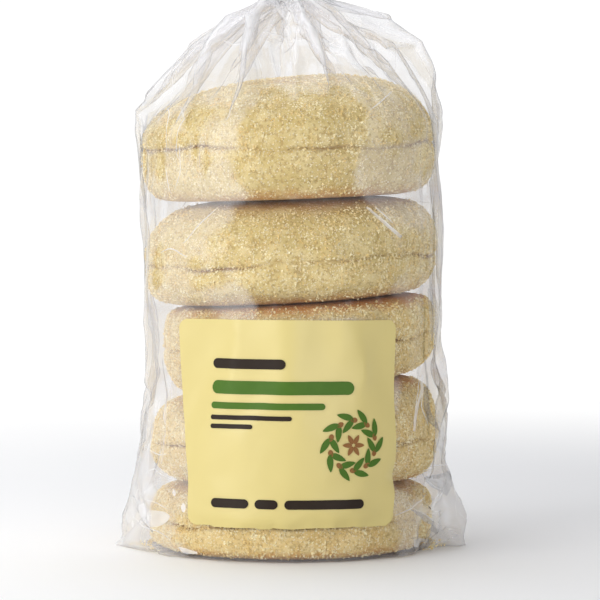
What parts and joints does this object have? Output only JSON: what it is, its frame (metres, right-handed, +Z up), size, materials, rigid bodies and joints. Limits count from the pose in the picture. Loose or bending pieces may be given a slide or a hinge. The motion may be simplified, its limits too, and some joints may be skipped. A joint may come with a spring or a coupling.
{
  "type": "pack of english muffins",
  "caption": "Clear film bag of stacked round english muffins, standing on its base, with a printed label panel and a tied neck.",
  "frame": {"origin": "middle of the bag's base, on the surface it stands on", "axes": "+Z up through the stack to the tied neck, label towards -Y"},
  "size_m": [0.1101, 0.0968, 0.212],
  "materials": {
    "clear_film": "clear glossy film",
    "label_print": "printed, half gloss",
    "label_ink": "printed",
    "tie_paper": "coated paper over wire",
    "muffin_crust": "baked, floury",
    "semolina": "coarse grains"
  },
  "bodies": {
    "root": {"bag": "clear_film", "label": "label_print", "tie": "tie_paper"}
  },
  "joints": []
}
